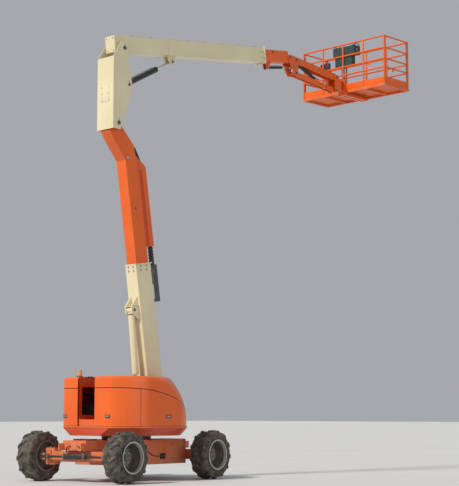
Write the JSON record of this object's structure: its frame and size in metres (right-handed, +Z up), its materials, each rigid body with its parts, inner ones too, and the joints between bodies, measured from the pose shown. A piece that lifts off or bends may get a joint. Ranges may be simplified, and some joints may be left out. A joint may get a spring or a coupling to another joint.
{
  "type": "articulating boom lift",
  "caption": "Self-propelled articulating boom lift with a telescoping tower, upright, telescopic main boom, parallelogram jib and rotating work platform, stored with the boom raised.",
  "frame": {"origin": "on the ground under the middle of the whole machine with its boom raised", "axes": "+X the way the boom points, +Y to its left, +Z up"},
  "size_m": [9.3784, 2.8764, 9.7863],
  "materials": {
    "beacon_amber": "translucent moulding",
    "console_dark": "moulded",
    "cream_paint": "satin paint",
    "dark_paint": "satin paint",
    "engine_iron": "rough",
    "guide_steel": "galvanised",
    "orange_paint": "satin paint",
    "rim_paint": "satin paint",
    "rod_chrome": "polished",
    "tank_plastic": "moulded",
    "tyre": "dusty rubber"
  },
  "bodies": {
    "chassis": {"chassis_frame": "orange_paint", "drive_axle": "orange_paint", "steer_axle": "orange_paint", "steer_cylinder": "dark_paint", "slew_ring": "dark_paint"},
    "tie_rod": {"tie_rod": "rod_chrome"},
    "knuckle_left": {"knuckle_left": "orange_paint"},
    "knuckle_right": {"knuckle_right": "orange_paint"},
    "turntable": {"turntable_frame": "orange_paint", "counterweight": "orange_paint", "engine_block": "engine_iron", "tank": "tank_plastic"},
    "hood_left": {"hood_left": "orange_paint", "beacon": "beacon_amber"},
    "hood_right": {"hood_right": "orange_paint"},
    "tower": {"tower_base": "cream_paint", "chain_guide": "guide_steel"},
    "tower_fly": {"tower_fly": "orange_paint", "energy_chain": "tank_plastic"},
    "tower_cylinder_barrel": {"tower_cylinder_barrel": "cream_paint"},
    "tower_cylinder_rod": {"tower_cylinder_rod": "rod_chrome"},
    "upright": {"upright": "cream_paint"},
    "main_boom": {"main_boom": "cream_paint"},
    "main_fly": {"main_fly": "orange_paint"},
    "boom_cylinder_barrel": {"boom_cylinder_barrel": "dark_paint"},
    "boom_cylinder_rod": {"boom_cylinder_rod": "rod_chrome"},
    "level_bracket": {"level_bracket": "orange_paint"},
    "level_cylinder_barrel": {"level_cylinder_barrel": "dark_paint"},
    "level_cylinder_rod": {"level_cylinder_rod": "rod_chrome"},
    "jib_upper_arm": {"jib_upper_arm": "orange_paint"},
    "jib_lower_arm": {"jib_lower_arm": "orange_paint"},
    "jib_end_bracket": {"jib_end_bracket": "orange_paint"},
    "jib_cylinder_barrel": {"jib_cylinder_barrel": "dark_paint"},
    "jib_cylinder_rod": {"jib_cylinder_rod": "rod_chrome"},
    "platform": {"rotator": "orange_paint", "platform_floor": "orange_paint", "rail_back": "orange_paint", "rail_front": "orange_paint", "rail_right": "orange_paint", "control_console": "console_dark"},
    "gate": {"gate": "orange_paint"},
    "wheel_front_left": {"tyre_front_left": "tyre", "rim_front_left": "rim_paint"},
    "wheel_front_right": {"tyre_front_right": "tyre", "rim_front_right": "rim_paint"},
    "wheel_rear_left": {"tyre_rear_left": "tyre", "rim_rear_left": "rim_paint"},
    "wheel_rear_right": {"tyre_rear_right": "tyre", "rim_rear_right": "rim_paint"}
  },
  "joints": [
    {"name": "swing", "type": "hinge", "parent": "chassis", "child": "turntable", "pos_m": [-2.83715, 0, 0.84], "axis": [0, 0, 1], "continuous": true},
    {"name": "steer_left", "type": "hinge", "parent": "chassis", "child": "knuckle_left", "pos_m": [-4.17696, 0.60025, 0.465], "axis": [0, 0, 1], "range_deg": [-35, 35]},
    {"name": "steer_right", "type": "hinge", "parent": "chassis", "child": "knuckle_right", "pos_m": [-3.97595, -0.92657, 0.465], "axis": [0, 0, 1], "range_deg": [-35, 35]},
    {"name": "tie_rod_slide", "type": "slide", "parent": "chassis", "child": "tie_rod", "axis": [-0.1305, 0.9914, 0], "range_m": [-0.112, 0.112]},
    {"name": "wheel_front_left_spin", "type": "hinge", "parent": "chassis", "child": "wheel_front_left", "pos_m": [-1.7362, 1.21409, 0.465], "axis": [-0.1305, 0.9914, 0], "continuous": true},
    {"name": "wheel_front_right_spin", "type": "hinge", "parent": "chassis", "child": "wheel_front_right", "pos_m": [-1.45949, -0.88777, 0.465], "axis": [-0.1305, 0.9914, 0], "continuous": true},
    {"name": "wheel_rear_left_spin", "type": "hinge", "parent": "knuckle_left", "child": "wheel_rear_left", "pos_m": [-4.21481, 0.88777, 0.465], "axis": [-0.1305, 0.9914, 0], "continuous": true},
    {"name": "wheel_rear_right_spin", "type": "hinge", "parent": "knuckle_right", "child": "wheel_rear_right", "pos_m": [-3.9381, -1.21409, 0.465], "axis": [-0.1305, 0.9914, 0], "continuous": true},
    {"name": "hood_left_open", "type": "hinge", "parent": "turntable", "child": "hood_left", "pos_m": [-2.83715, 0.245, 1.935], "axis": [1, 0, 0], "range_deg": [0, 60]},
    {"name": "hood_right_open", "type": "hinge", "parent": "turntable", "child": "hood_right", "pos_m": [-2.83715, -0.245, 1.935], "axis": [-1, 0, 0], "range_deg": [0, 60]},
    {"name": "tower_lift", "type": "hinge", "parent": "turntable", "child": "tower", "pos_m": [-2.17715, 0, 1.5], "axis": [0, 1, 0], "range_deg": [-79.5, 1.5]},
    {"name": "tower_telescope", "type": "slide", "parent": "tower", "child": "tower_fly", "axis": [-0.1513, 0, 0.9885], "range_m": [-1.8, 0]},
    {"name": "upright_level", "type": "hinge", "parent": "tower_fly", "child": "upright", "pos_m": [-3.31688, 0, 6.79958], "axis": [0, 1, 0], "range_deg": [-2, 80]},
    {"name": "tower_cylinder_pivot", "type": "hinge", "parent": "tower", "child": "tower_cylinder_barrel", "pos_m": [-2.74597, 0, 3.23391], "axis": [0, 1, 0], "range_deg": [-0.59, 5.06]},
    {"name": "tower_cylinder_stroke", "type": "slide", "parent": "tower_cylinder_barrel", "child": "tower_cylinder_rod", "axis": [0.1066, 0, -0.9943], "range_m": [-0.6621, 0.0164]},
    {"name": "main_lift", "type": "hinge", "parent": "upright", "child": "main_boom", "pos_m": [-3.18688, 0, 8.29958], "axis": [0, -1, 0], "range_deg": [-13.8, 67.2]},
    {"name": "boom_cylinder_pivot", "type": "hinge", "parent": "upright", "child": "boom_cylinder_barrel", "pos_m": [-3.05688, 0, 7.58958], "axis": [0, -1, 0], "range_deg": [-10.92, 51.26]},
    {"name": "boom_cylinder_stroke", "type": "slide", "parent": "boom_cylinder_barrel", "child": "boom_cylinder_rod", "axis": [0.8744, 0, 0.4853], "range_m": [-0.1322, 0.6285]},
    {"name": "main_telescope", "type": "slide", "parent": "main_boom", "child": "main_fly", "axis": [0.9907, 0, 0.1357], "range_m": [0, 3.3]},
    {"name": "platform_level", "type": "hinge", "parent": "main_fly", "child": "level_bracket", "pos_m": [1.79292, 0, 9.08266], "axis": [0, -1, 0], "range_deg": [-67.5, 14.1]},
    {"name": "level_cylinder_pivot", "type": "hinge", "parent": "main_fly", "child": "level_cylinder_barrel", "pos_m": [1.14323, 0, 8.74133], "axis": [0, -1, 0], "range_deg": [-0.63, 1.12]},
    {"name": "level_cylinder_stroke", "type": "slide", "parent": "level_cylinder_barrel", "child": "level_cylinder_rod", "axis": [0.9821, 0, 0.1882], "range_m": [-0.2513, 0.0548]},
    {"name": "jib_lift", "type": "hinge", "parent": "level_bracket", "child": "jib_upper_arm", "pos_m": [2.02291, 0, 9.06266], "axis": [0, -1, 0], "range_deg": [-54, 76]},
    {"name": "jib_lower_pivot", "type": "hinge", "parent": "level_bracket", "child": "jib_lower_arm", "pos_m": [2.02291, 0, 8.76266], "axis": [0, -1, 0], "range_deg": [-54.5, 76.5]},
    {"name": "jib_cylinder_pivot", "type": "hinge", "parent": "level_bracket", "child": "jib_cylinder_barrel", "pos_m": [2.02291, 0, 9.06266], "axis": [0, -1, 0], "range_deg": [-52.53, 73.73]},
    {"name": "jib_cylinder_stroke", "type": "slide", "parent": "jib_cylinder_barrel", "child": "jib_cylinder_rod", "axis": [0.935, 0, -0.3547], "range_m": [-0.3042, 0.2173]},
    {"name": "jib_end_level", "type": "hinge", "parent": "jib_upper_arm", "child": "jib_end_bracket", "pos_m": [3.41525, 0, 8.91632], "axis": [0, -1, 0], "range_deg": [-76.5, 54.5]},
    {"name": "platform_rotate", "type": "hinge", "parent": "jib_end_bracket", "child": "platform", "pos_m": [3.60025, 0, 8.76632], "axis": [0, 0, 1], "range_deg": [-90, 90]},
    {"name": "gate_swing", "type": "hinge", "parent": "platform", "child": "gate", "pos_m": [3.84024, 1.201, 8.76632], "axis": [0, 0, -1], "range_deg": [0, 80]}
  ],
  "couplings": [
    {"joint": "steer_right", "follows": "steer_left", "ratio": 1},
    {"joint": "tie_rod_slide", "follows": "steer_left", "m_per_rad": -0.18},
    {"joint": "upright_level", "follows": "tower_lift", "ratio": -1},
    {"joint": "tower_cylinder_pivot", "follows": "tower_lift", "ratio": -0.0574},
    {"joint": "tower_cylinder_stroke", "follows": "tower_lift", "m_per_rad": 0.47427},
    {"joint": "boom_cylinder_pivot", "follows": "main_lift", "ratio": 0.7553},
    {"joint": "boom_cylinder_stroke", "follows": "main_lift", "m_per_rad": 0.53243},
    {"joint": "platform_level", "follows": "main_lift", "ratio": -1},
    {"joint": "level_cylinder_pivot", "follows": "main_lift", "ratio": 0.0092},
    {"joint": "level_cylinder_stroke", "follows": "main_lift", "m_per_rad": -0.21089},
    {"joint": "jib_lower_pivot", "follows": "jib_lift", "ratio": 1},
    {"joint": "jib_cylinder_pivot", "follows": "jib_lift", "ratio": 0.9636},
    {"joint": "jib_cylinder_stroke", "follows": "jib_lift", "m_per_rad": -0.22629},
    {"joint": "jib_end_level", "follows": "jib_lift", "ratio": -1}
  ]
}
